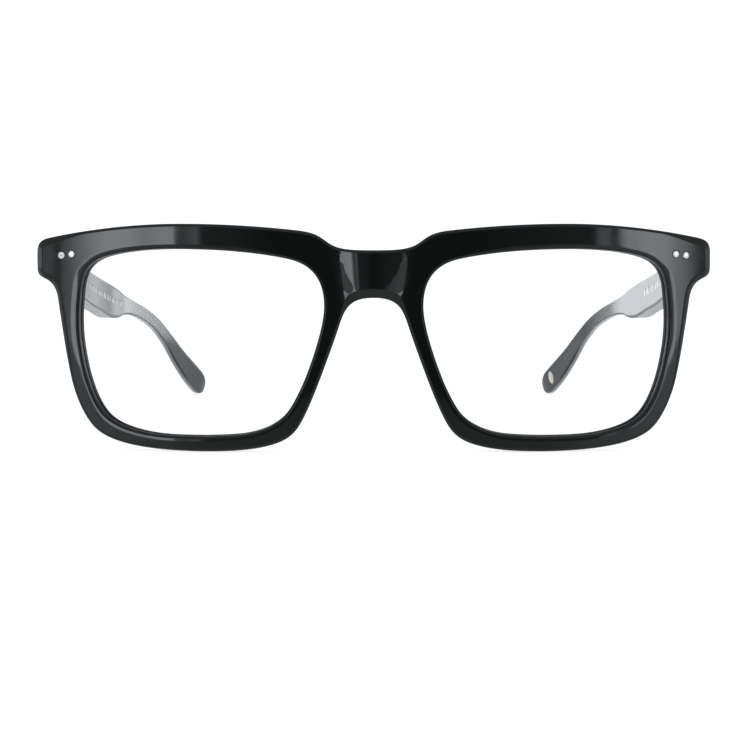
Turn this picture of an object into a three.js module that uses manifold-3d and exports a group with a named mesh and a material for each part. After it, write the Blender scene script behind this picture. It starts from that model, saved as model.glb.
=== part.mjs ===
// Square acetate spectacle frame with clear lenses, standing open on a table.
// Millimetres, +Z up. The front faces -Y, the temples run back along +Y, and +X is
// the wearer's left. The front is drawn flat in x and z, then wrapped on a cylinder.
import * as THREE from 'three';
import { mergeVertices } from 'three/addons/utils/BufferGeometryUtils.js';
import Module from 'manifold-3d';

const wasm = await Module();
wasm.setup();

// ---- Driving dimensions ----
const WRAP_RADIUS = 300; // plan radius that the front is bent to
const FRONT_DEPTH = 4; // thickness of the acetate front
const FRONT_BEVEL = 0.5; // bevel round the outline and the lens openings
const GROOVE_DEPTH = 0.8; // V groove that holds the lens
const LENS_THICK = 2;
const LENS_DOME = 1.2; // how far the middle of the lens bows forward
const LENS_BEVEL = 0.45; // how far the lens edge reaches into the groove
const GAP = 0.3; // space kept between neighbouring pieces

const TEMPLE_PITCH = 8.5; // degrees that each temple falls towards the back
const HINGE = new THREE.Vector3(65.9, 14, 40.9); // middle of the left hinge pin
const KNUCKLE_R = 1.5;
const KNUCKLE_H = 1.25;
const KNUCKLE_PITCH = 1.5; // knuckle height plus the gap to the next one
const SCREW_R = 0.62;
const SCREW_HOLE_R = 0.75;
const LEAF_THICK = 0.9;
const LEAF_HALF = 3.75; // half the height of the front leaf's plate
const RIVET_HEAD_R = 0.75;
const RIVET_SHANK_R = 0.45;
const RIVET_X = [64.7, 66.9]; // front rivets, measured across the front
const RIVET_Z = [41.75, 41.5];
const TEMPLE_RIVET_Y = [5.6, 9.6]; // temple rivets, measured back from the pin
const WIRE_THICK = 0.7;
const WIRE_HEIGHT = 1.4;
const WIRE_END = 118; // how far back the stiffening wire reaches

// ---- Materials ----
const acetate = new THREE.MeshStandardMaterial({ color: 0x131615, roughness: 0.16, metalness: 0 });
const metal = new THREE.MeshStandardMaterial({ color: 0xc9ccd0, roughness: 0.22, metalness: 1 });
const steel = new THREE.MeshStandardMaterial({ color: 0x9a9da1, roughness: 0.35, metalness: 1 });
const lensClear = new THREE.MeshStandardMaterial({
  color: 0xf2f4fb, roughness: 0.03, metalness: 0, transparent: true, opacity: 0.18,
});

// ---- Outlines ----
// A chain is a start point followed by cubic segments, each with two handles, an end
// point and the number of steps it is drawn in. Points are [x, z] on the flat front.
const frontHalf = {
  start: [0, 42.7],
  parts: [
    [[5.5, 42.7], [8, 42.85], [10, 44.5], 5], // bridge top, rising to the shoulder
    [[11.5, 45.74], [12.6, 46.45], [16, 46.85], 4],
    [[24.5, 47.8], [32.5, 48.24], [41, 48.24], 4], // brow line
    [[51, 48.24], [61, 47], [70, 45.15], 5],
    [[71.3, 44.87], [72.3, 44.3], [72.3, 42.6], 3], // end piece
    [[72.3, 41], [72.3, 40], [72.3, 38.4], 1],
    [[72.3, 37.8], [71.9, 37.3], [71.2, 37.05], 2],
    [[69.6, 36.4], [68.2, 36], [67.8, 33.5], 5], // underside of the end piece
    [[67.2, 28.5], [66.1, 20.6], [64.6, 14.5], 4], // temporal side of the rim
    [[63.86, 11.5], [61.6, 6.6], [59.8, 4.5], 3],
    [[58.4, 3.1], [53, 1.05], [46, 0.42], 4],
    [[40, -0.15], [30, -0.3], [24, 0.92], 5], // bottom of the rim
    [[19.5, 1.85], [17, 3], [15.25, 6.5], 5],
    [[13.3, 10], [10.6, 17.3], [8.05, 24.5], 4], // nose side of the rim
    [[7.6, 25.8], [7.2, 27.1], [6.7, 28.5], 1],
    [[5.6, 31.3], [4.2, 32.66], [0, 32.66], 5], // bridge underside
  ],
};
const lensOpening = {
  start: [10.5, 31],
  parts: [
    [[10.5, 36], [12.6, 39.7], [18, 40.95], 5],
    [[25, 42.5], [33.5, 43.08], [42, 43.08], 4],
    [[47, 43.08], [52.5, 42.7], [56.5, 41.6], 3],
    [[61.5, 40.4], [62.9, 37.8], [63.2, 32.5], 6],
    [[63.8, 28.5], [63.8, 24.3], [63, 20.2], 3],
    [[62.3, 15.8], [60.5, 9.9], [57.75, 7.3], 4],
    [[55.3, 5], [50, 3.6], [44.1, 3.2], 4],
    [[39.9, 2.9], [34.9, 2.9], [30.9, 3.2], 2],
    [[26.5, 3.35], [21.9, 4.5], [18.9, 7.6], 5],
    [[17.3, 9.3], [14.6, 15], [13.4, 18.6], 3],
    [[12.2, 22.2], [10.5, 27.2], [10.5, 31], 4],
  ],
};

function chainPoints(chain) {
  let from = new THREE.Vector2(...chain.start);
  const points = [from];
  for (const [a, b, end, steps] of chain.parts) {
    const to = new THREE.Vector2(...end);
    const curve = new THREE.CubicBezierCurve(from, new THREE.Vector2(...a), new THREE.Vector2(...b), to);
    points.push(...curve.getPoints(steps).slice(1));
    from = to;
  }
  return points;
}

// Moves a closed anticlockwise outline outwards by a distance.
function grown(points, distance) {
  const n = points.length;
  return points.map((p, i) => {
    const before = points[(i + n - 1) % n];
    const after = points[(i + 1) % n];
    const along = after.clone().sub(before).normalize();
    return new THREE.Vector2(p.x + along.y * distance, p.y - along.x * distance);
  });
}

const mirroredX = (points) => points.map((p) => new THREE.Vector2(-p.x, p.y)).reverse();

const halfPoints = chainPoints(frontHalf);
const frontOutline = [...halfPoints, ...mirroredX(halfPoints).slice(1, -1)].reverse();
const openingLeft = chainPoints(lensOpening).slice(1).reverse();
const openings = { left: openingLeft, right: mirroredX(openingLeft) };

// ---- Solids from meshes ----
function solidOf(geometry) {
  const bare = geometry.clone();
  for (const name of ['normal', 'uv']) bare.deleteAttribute(name);
  const merged = mergeVertices(bare, 1e-5);
  const mesh = new wasm.Mesh({
    numProp: 3,
    vertProperties: new Float32Array(merged.attributes.position.array),
    triVerts: new Uint32Array(merged.index.array),
  });
  return new wasm.Manifold(mesh);
}

function geometryOf(solid) {
  const mesh = solid.getMesh();
  const geometry = new THREE.BufferGeometry();
  geometry.setAttribute('position', new THREE.BufferAttribute(new Float32Array(mesh.vertProperties), 3));
  geometry.setIndex(new THREE.BufferAttribute(new Uint32Array(mesh.triVerts), 1));
  geometry.computeVertexNormals();
  return geometry;
}

const joined = (...geometries) =>
  geometryOf(geometries.map(solidOf).reduce((whole, next) => whole.add(next)));

const cut = (geometry, ...cutters) =>
  geometryOf(cutters.map(solidOf).reduce((whole, next) => whole.subtract(next), solidOf(geometry)));

// Closed skin over a row of rings with equal numbers of points, capped at both ends.
function skin(rings) {
  const size = rings[0].length;
  const points = rings.flat();
  const faces = [];
  const quad = (a, b, c, d) => faces.push(a, b, c, a, c, d);
  for (let r = 0; r + 1 < rings.length; r += 1) {
    for (let i = 0; i < size; i += 1) {
      const j = (i + 1) % size;
      quad(r * size + i, r * size + j, (r + 1) * size + j, (r + 1) * size + i);
    }
  }
  for (const [row, flip] of [[0, true], [rings.length - 1, false]]) {
    const middle = new THREE.Vector3();
    for (const p of rings[row]) middle.addScaledVector(p, 1 / size);
    points.push(middle);
    for (let i = 0; i < size; i += 1) {
      const a = row * size + i;
      const b = row * size + ((i + 1) % size);
      if (flip) faces.push(points.length - 1, b, a);
      else faces.push(points.length - 1, a, b);
    }
  }
  let volume = 0;
  for (let f = 0; f < faces.length; f += 3) {
    const [a, b, c] = [points[faces[f]], points[faces[f + 1]], points[faces[f + 2]]];
    volume += a.dot(b.clone().cross(c));
  }
  if (volume < 0) faces.reverse();
  const geometry = new THREE.BufferGeometry().setFromPoints(points);
  geometry.setIndex(faces);
  geometry.computeVertexNormals();
  return geometry;
}

// ---- Wrapping the flat front ----
// A flat point is [x, t, z], where t is the depth behind the front surface.
function wrapped(x, t, z) {
  const angle = Math.asin(x / WRAP_RADIUS);
  const sag = WRAP_RADIUS * (1 - Math.cos(angle));
  return new THREE.Vector3(x - t * Math.sin(angle), sag + t * Math.cos(angle), z);
}

// Splits every triangle of an indexed mesh that crosses the plane at one x.
function splitAt(points, faces, x) {
  const cuts = new Map();
  const side = (i) => (Math.abs(points[i].x - x) < 1e-6 ? 0 : Math.sign(points[i].x - x));
  const between = (i, j) => {
    const [low, high] = i < j ? [i, j] : [j, i];
    const key = low * 1e6 + high;
    if (!cuts.has(key)) {
      const share = (x - points[low].x) / (points[high].x - points[low].x);
      cuts.set(key, points.length);
      points.push(points[low].clone().lerp(points[high], share));
    }
    return cuts.get(key);
  };
  const out = [];
  for (const face of faces) {
    const sides = face.map(side);
    if (!(sides.includes(1) && sides.includes(-1))) {
      out.push(face);
      continue;
    }
    const sum = sides[0] + sides[1] + sides[2];
    const lone = sides.includes(0) ? sides.indexOf(0) : sides.indexOf(-sum);
    const [a, b, c] = [face[lone], face[(lone + 1) % 3], face[(lone + 2) % 3]];
    if (sides.includes(0)) {
      const m = between(b, c);
      out.push([a, b, m], [a, m, c]);
    } else {
      const m = between(a, b);
      const n = between(a, c);
      out.push([a, m, n], [m, b, c], [m, c, n]);
    }
  }
  return out;
}

function wrap(geometry, step) {
  const merged = mergeVertices(geometry.deleteAttribute('normal').deleteAttribute('uv'), 1e-4);
  const place = merged.attributes.position;
  const points = [];
  for (let i = 0; i < place.count; i += 1) points.push(new THREE.Vector3().fromBufferAttribute(place, i));
  let faces = [];
  for (let f = 0; f < merged.index.count; f += 3) {
    faces.push([merged.index.getX(f), merged.index.getX(f + 1), merged.index.getX(f + 2)]);
  }
  for (let x = -72; x < 72.1; x += step) faces = splitAt(points, faces, x);
  const bent = new THREE.BufferGeometry().setFromPoints(points.map((p) => wrapped(p.x, p.y, p.z)));
  bent.setIndex(faces.flat());
  bent.computeVertexNormals();
  return bent;
}

// A bevelled plate of the given outline, standing in x and z between two depths.
function plate(outline, holes, front, back, bevel, reach) {
  const shape = new THREE.Shape(outline);
  shape.holes = holes.map((hole) => new THREE.Path(hole));
  const slab = new THREE.ExtrudeGeometry(shape, {
    depth: back - front - 2 * bevel,
    bevelEnabled: true,
    bevelSegments: 1,
    bevelThickness: bevel,
    bevelSize: reach,
    bevelOffset: -reach,
  });
  slab.rotateX(Math.PI / 2);
  slab.translate(0, back - bevel, 0);
  return slab;
}

// A short cylinder, and where it goes on the wrapped front.
function rod(radius, from, to, sides) {
  const geometry = new THREE.CylinderGeometry(radius, radius, to - from, sides);
  geometry.translate(0, (from + to) / 2, 0);
  return geometry;
}

function onFront(geometry, x, z) {
  const angle = Math.asin(x / WRAP_RADIUS);
  const foot = wrapped(x, 0, z);
  return geometry.rotateZ(angle).translate(foot.x, foot.y, foot.z);
}

function box(x0, x1, y0, y1, z0, z1) {
  const geometry = new THREE.BoxGeometry(x1 - x0, y1 - y0, z1 - z0);
  return geometry.translate((x0 + x1) / 2, (y0 + y1) / 2, (z0 + z1) / 2);
}

// ---- Hinge frame ----
// The pin leans back with the temple, so that the temple folds level.
const lean = -THREE.MathUtils.degToRad(TEMPLE_PITCH);
const toHinge = (geometry) => geometry.rotateX(lean).translate(HINGE.x, HINGE.y, HINGE.z);

// Upright rod about the pin line.
const pinRod = (radius, low, high, sides = 16) => rod(radius, low, high, sides).rotateX(Math.PI / 2);

const knuckleLow = (slot) => (slot - 2.5) * KNUCKLE_PITCH + (KNUCKLE_PITCH - KNUCKLE_H) / 2;

// ---- Front frame ----
const grooveMiddle = FRONT_DEPTH / 2 + 0.1;
function grooveCutter(opening) {
  const tip = grown(opening, GROOVE_DEPTH);
  return plate(tip, [], grooveMiddle - GROOVE_DEPTH - 0.1, grooveMiddle + GROOVE_DEPTH + 0.1,
    GROOVE_DEPTH + 0.05, GROOVE_DEPTH + 0.05);
}

// Everything on one side is drawn for the wearer's left and mirrored for the right.
const rivetHole = (x, z) => joined(
  onFront(rod(RIVET_SHANK_R + 0.3, -1, FRONT_DEPTH + 1, 12), x, z),
  onFront(rod(RIVET_HEAD_R + 0.2, -1, 0.9, 16), x, z),
);
const leafPlate = (grow) => onFront(
  box(-3.7 - grow, 1.3 + grow, FRONT_DEPTH - 0.5 - grow, FRONT_DEPTH - 0.5 + LEAF_THICK + grow,
    -LEAF_HALF - grow, LEAF_HALF + grow),
  RIVET_X[1], HINGE.z,
);

function mirrored(geometry) {
  const other = geometry.clone().scale(-1, 1, 1);
  const index = other.index ?? new THREE.BufferAttribute(
    Uint32Array.from({ length: other.attributes.position.count }, (_, i) => i), 1);
  other.setIndex(Array.from(index.array).reverse());
  other.computeVertexNormals();
  return other;
}

const bothSides = (...geometries) => geometries.flatMap((g) => [g, mirrored(g)]);

const flatFront = cut(
  plate(frontOutline, [openings.left, openings.right], 0, FRONT_DEPTH, FRONT_BEVEL, FRONT_BEVEL),
  grooveCutter(openings.left),
  grooveCutter(openings.right),
);
const frontGeometry = cut(
  wrap(flatFront, 14.4),
  ...bothSides(
    rivetHole(RIVET_X[0], RIVET_Z[0]),
    rivetHole(RIVET_X[1], RIVET_Z[1]),
    leafPlate(GAP),
  ),
);

// ---- Lens ----
// Rings run from the middle of the front surface, round the edge bevel, to the back.
function lensGeometry(opening) {
  const middle = new THREE.Vector2();
  for (const p of opening) middle.addScaledVector(p, 1 / opening.length);
  const edge = grown(opening, -GAP);
  const ridge = grown(opening, LENS_BEVEL);
  const half = LENS_THICK / 2;
  const domed = (share, offset) => edge.map((p) => {
    const flat = middle.clone().lerp(p, share);
    return wrapped(flat.x, grooveMiddle + offset - LENS_DOME * (1 - share * share), flat.y);
  });
  const flatRing = (outline, offset) => outline.map((p) => wrapped(p.x, grooveMiddle + offset, p.y));
  const shares = [0.2, 0.6, 1];
  return skin([
    ...shares.map((share) => domed(share, -half)),
    flatRing(edge, -0.75),
    flatRing(ridge, 0),
    flatRing(edge, 0.75),
    ...shares.map((share) => domed(share, half)).reverse(),
  ]);
}

// ---- Nose pad ----
// A rounded acetate block bonded behind the nose side of the rim.
const PAD_STEPS = 5;
const PAD_DEPTH = 4.2;
function padGeometry() {
  const rings = [];
  for (let k = 0; k <= PAD_STEPS; k += 1) {
    const share = k / PAD_STEPS;
    const shrink = Math.sqrt(1 - (0.93 * share) ** 2);
    const ring = [];
    for (let i = 0; i < 20; i += 1) {
      const turn = (i / 20) * 2 * Math.PI;
      const up = 7.4 * shrink * Math.sin(turn);
      const across = 1.45 * shrink * Math.cos(turn);
      const x = 12.55 + 1.3 * share - 0.38 * up + across;
      ring.push(wrapped(x, FRONT_DEPTH + GAP + PAD_DEPTH * share, 16.5 + up));
    }
    rings.push(ring);
  }
  return skin(rings);
}

// ---- Front leaf of the hinge ----
function frontLeaf() {
  const pieces = [leafPlate(0)];
  for (const slot of [0, 2, 4]) {
    const low = knuckleLow(slot);
    pieces.push(toHinge(pinRod(KNUCKLE_R, low, low + KNUCKLE_H)));
    // The web runs down from the knuckle into the plate, which stands upright.
    const foot = -2.6 + Math.tan(lean) * (low + KNUCKLE_H / 2);
    pieces.push(toHinge(box(-1.2, 0.9, foot, 0, low, low + KNUCKLE_H)));
  }
  return cut(
    joined(...pieces),
    toHinge(pinRod(SCREW_HOLE_R, -8, 8)),
    ...RIVET_X.map((x, i) => onFront(rod(RIVET_SHANK_R + 0.2, 0, FRONT_DEPTH + 2, 12), x, RIVET_Z[i])),
  );
}

// ---- Rivets and screw ----
// A profile of [radius, distance] pairs, spun about the piece's own axis.
const spun = (profile, sides) =>
  new THREE.LatheGeometry(profile.map(([r, y]) => new THREE.Vector2(r, y)), sides);

const frontRivet = (x, z) => onFront(spun([
  [0, -0.12], [RIVET_HEAD_R * 0.7, -0.08], [RIVET_HEAD_R, 0.1], [RIVET_HEAD_R, 0.5],
  [RIVET_SHANK_R, 0.5], [RIVET_SHANK_R, FRONT_DEPTH + 0.3], [0, FRONT_DEPTH + 0.3],
], 14), x, z);

const screwTop = 2.5 * KNUCKLE_PITCH;
const hingeScrew = () => toHinge(spun([
  [0, -screwTop], [SCREW_R, -screwTop], [SCREW_R, screwTop + 0.1],
  [1.15, screwTop + 0.1], [1.15, screwTop + 0.45], [0.8, screwTop + 0.75], [0, screwTop + 0.75],
], 14).rotateX(Math.PI / 2));

// ---- Temple ----
// Stations along the temple in the hinge frame: distance back, middle across, middle
// height, section height, section thickness and corner radius.
const stations = [
  [-4, 3.9, -0.2, 6.9, 4, 0.9],
  [10, 3.9, -0.25, 7.1, 4, 0.9],
  [24, 3.9, -0.4, 7.4, 4, 0.9],
  [40, 3.9, -0.65, 7.8, 4, 0.9],
  [54, 3.65, -0.85, 8.1, 4, 0.95],
  [66, 2.7, -1.05, 8.2, 3.9, 1],
  [75, 1.6, -1.4, 8.4, 3.8, 1.1], // lower edge steps up after this into the neck
  [82, 0.4, -1.4, 7.3, 3.6, 1.2],
  [88, -0.7, -1.15, 5, 3.4, 1.3],
  [95, -2.4, -1.3, 3.7, 3.2, 1.4],
  [103, -4.7, -2.3, 3.4, 3.1, 1.5],
  [110, -6.9, -4.2, 3.4, 3, 1.5],
  [117, -9.4, -7.6, 3.8, 3, 1.5],
  [123.5, -11.7, -11.5, 5.2, 3, 1.4],
  [130, -14.4, -15.2, 6.3, 3, 1.4],
  [138, -17.8, -19.12, 6.3, 3, 1.4],
];
const centre = new THREE.CatmullRomCurve3(
  stations.map(([back, across, up]) => new THREE.Vector3(across, back, up)), false, 'centripetal');
const sizes = new THREE.CatmullRomCurve3(
  stations.map(([, , , height, thick, round]) => new THREE.Vector3(height, thick, round)),
  false, 'centripetal');

// The section frame at a share of the run: middle, sideways direction and up direction.
function sectionAt(share) {
  const middle = centre.getPoint(share);
  const along = centre.getTangent(share);
  const sideways = new THREE.Vector3(along.y, -along.x, 0).normalize();
  const upwards = new THREE.Vector3().crossVectors(sideways, along).normalize();
  return { middle, sideways, upwards };
}

// Rounded rectangle of the given half sizes, as [sideways, up] pairs.
function roundedRectangle(halfWide, halfHigh, radius, steps) {
  const corners = [[1, 1, 0], [-1, 1, 1], [-1, -1, 2], [1, -1, 3]];
  return corners.flatMap(([sx, sz, quarter]) => {
    const points = [];
    for (let k = 0; k <= steps; k += 1) {
      const turn = (quarter + k / steps) * Math.PI / 2;
      points.push([
        sx * (halfWide - radius) + radius * Math.cos(turn),
        sz * (halfHigh - radius) + radius * Math.sin(turn),
      ]);
    }
    return points;
  });
}

function ringAt(share, pairs) {
  const { middle, sideways, upwards } = sectionAt(share);
  return pairs.map(([across, up]) =>
    middle.clone().addScaledVector(sideways, across).addScaledVector(upwards, up));
}

const runLength = centre.getLength();
const TIP_ROUND = 3; // length over which the tip closes
const TEMPLE_RINGS = 32;

// Outline of the temple's section at a share of the run, drawn in towards the tip.
function templeRing(share, wide, high) {
  const size = sizes.getPoint(share);
  const halfWide = (size.y / 2) * wide;
  const halfHigh = (size.x / 2) * high;
  const radius = Math.min(size.z, halfWide * 0.95, halfHigh * 0.95);
  return ringAt(share, roundedRectangle(halfWide, halfHigh, radius, 2));
}

function templeBody() {
  const rings = [];
  for (let k = 0; k < TEMPLE_RINGS; k += 1) {
    rings.push(templeRing((k / TEMPLE_RINGS) * (1 - TIP_ROUND / runLength), 1, 1));
  }
  for (const turn of [0, 25, 50, 70, 84]) {
    const angle = THREE.MathUtils.degToRad(turn);
    const shrink = Math.cos(angle);
    const share = 1 - (TIP_ROUND / runLength) * (1 - Math.sin(angle));
    rings.push(templeRing(share, 0.45 + 0.55 * shrink, shrink));
  }
  return skin(rings);
}

// Share of the run at a distance back from the pin, found by halving.
const shareAt = (distance) => {
  let low = 0;
  let high = 1;
  for (let k = 0; k < 40; k += 1) {
    const mid = (low + high) / 2;
    if (centre.getPoint(mid).y < distance) low = mid;
    else high = mid;
  }
  return low;
};

// Square strip that follows the middle of the temple.
function wireStrip(thick, height, from, to) {
  const rings = [];
  const first = shareAt(from);
  const last = shareAt(to);
  const pairs = [[1, 1], [-1, 1], [-1, -1], [1, -1]].map(([a, b]) => [a * thick / 2, b * height / 2]);
  for (let k = 0; k <= 24; k += 1) rings.push(ringAt(first + ((last - first) * k) / 24, pairs));
  return skin(rings);
}

// The temple meets the back of the front along a face parallel to it.
const shoulder = onFront(box(-30, 30, -30, FRONT_DEPTH + GAP, -30, 30), 69.5, HINGE.z);
const fromHinge = (geometry) => geometry.translate(-HINGE.x, -HINGE.y, -HINGE.z).rotateX(-lean);

// Temple leaf of the hinge, lying in a pocket in the temple's inner face.
const INNER_FACE = 1.9; // distance from the pin line to the temple's inner face
const leafBox = (grow) =>
  box(INNER_FACE - 0.35 - grow, INNER_FACE - 0.35 + LEAF_THICK + grow,
    1.3 - grow, 12.3 + grow, -2.4 - grow, 2.4 + grow);
const templeRivetRod = (radius, y, from, to) =>
  rod(radius, from, to, 14).rotateZ(-Math.PI / 2).translate(0, y, 0);

function templeLeaf() {
  const pieces = [leafBox(0)];
  for (const slot of [1, 3]) {
    const low = knuckleLow(slot);
    pieces.push(pinRod(KNUCKLE_R, low, low + KNUCKLE_H));
    pieces.push(box(0.4, INNER_FACE - 0.15, 0, 3, low, low + KNUCKLE_H));
  }
  return cut(
    joined(...pieces),
    pinRod(SCREW_HOLE_R, -8, 8),
    ...TEMPLE_RIVET_Y.map((y) => templeRivetRod(RIVET_SHANK_R + 0.2, y, -1, 4)),
  );
}

const OUTER_FACE = 5.9; // distance from the pin line to the temple's outer face
const templeRivet = (y) => spun([
  [0, OUTER_FACE + 0.12], [RIVET_HEAD_R * 0.7, OUTER_FACE + 0.08], [RIVET_HEAD_R, OUTER_FACE - 0.1],
  [RIVET_HEAD_R, OUTER_FACE - 0.5], [RIVET_SHANK_R, OUTER_FACE - 0.5], [RIVET_SHANK_R, INNER_FACE - 0.3],
  [0, INNER_FACE - 0.3],
].reverse(), 14).rotateZ(-Math.PI / 2).translate(0, y, 0);

// Inlay in the inner face near the tip: an oval disc in the section's own frame.
const INLAY_AT = 131.5;
function inlayDisc(wide, high, out, sunk) {
  const share = shareAt(INLAY_AT);
  const { middle, sideways, upwards } = sectionAt(share);
  const inwards = sideways.clone().negate();
  const lengthways = new THREE.Vector3().crossVectors(upwards, inwards);
  const inner = sizes.getPoint(share).y / 2;
  const disc = rod(1, inner - sunk, inner + out, 28).scale(high, 1, wide);
  const frame = new THREE.Matrix4().makeBasis(upwards, inwards, lengthways);
  return disc.applyMatrix4(frame.setPosition(middle));
}

function templeGeometry(withInlay) {
  const cutters = [
    fromHinge(shoulder.clone()),
    pinRod(KNUCKLE_R + 0.35, -4.2, 4.2),
    leafBox(GAP),
    wireStrip(WIRE_THICK + 2 * GAP, WIRE_HEIGHT + 2 * GAP, -4, WIRE_END + GAP),
  ];
  for (const y of TEMPLE_RIVET_Y) {
    cutters.push(templeRivetRod(RIVET_SHANK_R + 0.3, y, 0, 8));
    cutters.push(templeRivetRod(RIVET_HEAD_R + 0.2, y, OUTER_FACE - 0.9, 8));
  }
  if (withInlay) cutters.push(inlayDisc(1.5 + 0.25, 2.5 + 0.25, 2, 0.55));
  return cut(templeBody(), ...cutters);
}

// The stiffening wire starts behind the rivets.
const WIRE_START = TEMPLE_RIVET_Y[1] + 3.5;

// ---- Assembly ----
const group = new THREE.Group();
function add(name, geometry, material) {
  const mesh = new THREE.Mesh(geometry, material);
  mesh.name = name;
  group.add(mesh);
}

// Adds a piece drawn for the wearer's left and its mirror image for the right.
function addPair(stem, geometry, material, tail = '') {
  add(`${stem}_left${tail}`, geometry, material);
  add(`${stem}_right${tail}`, mirrored(geometry), material);
}

add('front_frame', frontGeometry, acetate);
addPair('lens', lensGeometry(openings.left), lensClear);
addPair('nose_pad', padGeometry(), acetate);
addPair('hinge_front_leaf', frontLeaf(), steel);
addPair('hinge_screw', hingeScrew(), steel);
addPair('front_rivet', frontRivet(RIVET_X[0], RIVET_Z[0]), metal, '_inner');
addPair('front_rivet', frontRivet(RIVET_X[1], RIVET_Z[1]), metal, '_outer');
add('temple_left', toHinge(templeGeometry(true)), acetate);
add('temple_right', mirrored(toHinge(templeGeometry(false))), acetate);
addPair('temple_core', toHinge(wireStrip(WIRE_THICK, WIRE_HEIGHT, WIRE_START, WIRE_END)), steel);
addPair('hinge_temple_leaf', toHinge(templeLeaf()), steel);
addPair('temple_rivet', toHinge(templeRivet(TEMPLE_RIVET_Y[0])), metal, '_fore');
addPair('temple_rivet', toHinge(templeRivet(TEMPLE_RIVET_Y[1])), metal, '_aft');
add('tip_inlay', toHinge(inlayDisc(1.5, 2.5, 0.05, 0.3)), metal);

// The origin is the middle of the footprint, on the table.
const bounds = new THREE.Box3().setFromObject(group);
group.position.set(0, -(bounds.min.y + bounds.max.y) / 2, -bounds.min.z);

export default group;
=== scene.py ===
"""Square black acetate spectacles with clear lenses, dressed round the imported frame.

Shapes are worked out in millimetres in the part's drawing frame: the front is drawn flat in
x and z, a depth is measured behind its front surface, and y is 0 at the bridge.
"""
import math

import bmesh
import bpy
import numpy as np
from mathutils import Matrix, Vector, geometry


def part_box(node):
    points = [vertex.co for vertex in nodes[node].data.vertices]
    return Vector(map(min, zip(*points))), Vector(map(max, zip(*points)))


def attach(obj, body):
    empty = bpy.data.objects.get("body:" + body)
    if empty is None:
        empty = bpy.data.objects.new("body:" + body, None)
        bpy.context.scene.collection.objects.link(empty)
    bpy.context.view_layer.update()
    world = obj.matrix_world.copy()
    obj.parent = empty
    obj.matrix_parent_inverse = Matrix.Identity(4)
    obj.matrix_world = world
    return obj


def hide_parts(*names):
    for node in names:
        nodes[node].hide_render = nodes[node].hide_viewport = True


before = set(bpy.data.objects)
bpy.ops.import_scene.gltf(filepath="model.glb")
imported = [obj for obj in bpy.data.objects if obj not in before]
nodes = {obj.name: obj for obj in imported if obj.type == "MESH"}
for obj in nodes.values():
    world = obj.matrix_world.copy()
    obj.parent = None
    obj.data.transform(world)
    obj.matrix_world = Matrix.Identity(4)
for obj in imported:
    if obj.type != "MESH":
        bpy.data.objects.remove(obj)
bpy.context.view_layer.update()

# ---- Driving dimensions, in millimetres ----
MM = 0.001
FRONT_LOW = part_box("front_frame")[0]
ORIGIN = Vector((0, FRONT_LOW.y, FRONT_LOW.z))  # bridge face at the level of the table

WRAP_RADIUS = 300  # plan radius that the front is bent to
FRONT_DEPTH = 4
GROOVE_AT = 2.05  # depth of the lens groove
LENS_HALF = 0.7  # half the lens thickness
LENS_DOME = 1.2
LENS_THINS = 0.7  # how far from the opening the lens begins to thin out
LENS_BEVEL = ((-0.26, -0.03), (-0.06, 0.42), (0.06, 0.42), (0.26, -0.03))  # along its thickness, then out
LIP = 0.1  # how much tighter the rim is behind the lens
SOFT_EDGE = (0.5, 0.36)  # how far in and how deep the facet of the front's outer edge goes
END_FACET = (1.1, 0.58)  # more of it on the end pieces
NOSE_FACET = (1.3, 0.2)  # and more of it under the bridge
SWELL = 0.035  # how far the front's face falls towards the opening on the temporal side
CROWN_SLOPE = 0.2  # slope that the bridge's crown comes to at its edges
CROWN_TURN = 2.9  # how soon it comes to that slope
STEP = 0.5  # spacing of points along the outlines
CURVE_POINTS = 24  # points along each cubic segment of an outline

TEMPLE_PITCH = math.radians(8.5)
HINGE = Vector((65.9, 14, 40.9))  # middle of the left hinge pin
KNUCKLE_R = 1.5
KNUCKLE_BORE = 0.7
KNUCKLE_H = 1.25
KNUCKLE_PITCH = 1.5
SCREW_R = 0.62
SCREW_HEAD_R = 1.15
SLOT_HALF = 0.17  # half the width of the slot in the screw's head
LEAF_THICK = 0.9
LEAF_HALF = 3.75
RIVET_HEAD_R = 0.79
RIVET_RECESS_R = 0.83
RIVETS = {"inner": (64.35, 41.75), "outer": (66.55, 41.5)}
TEMPLE_RIVETS = {"fore": 5.6, "aft": 9.6}
INNER_FACE = 1.9  # from the pin line to the temple's inner and outer faces
OUTER_FACE = 5.9
TEMPLE_END = 137.75
TIP_ROUND = 3.4
LOW_ROUND = 1.7  # how much rounder the low outer corner of the neck and the tip is
CORNER_HOLD = 0.15  # distance of the point that stands beside each end of a rounded corner
CORNER_ROOM = 0.17  # what a corner's radius leaves of half a side
SHOULDER_X = 69.5  # middle of the temple's end, where it meets the back of the front
SHOULDER_GAP = 0.15
INLAY_AT = 132.5
INLAY_HALF = (1.05, 1.8)  # half its length and half its height

PAD_MIDDLE = (12.55, 16.5)
PAD_HALF = (1.45, 7.4)  # half its width and half its height
PAD_OUT = 4.7  # how far it stands out of the rim's back
PAD_SUNK = 0.3
PAD_SPREAD = 1.3  # how far its crest lies further from the middle than its foot
PAD_LEAN = 0.38


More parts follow.
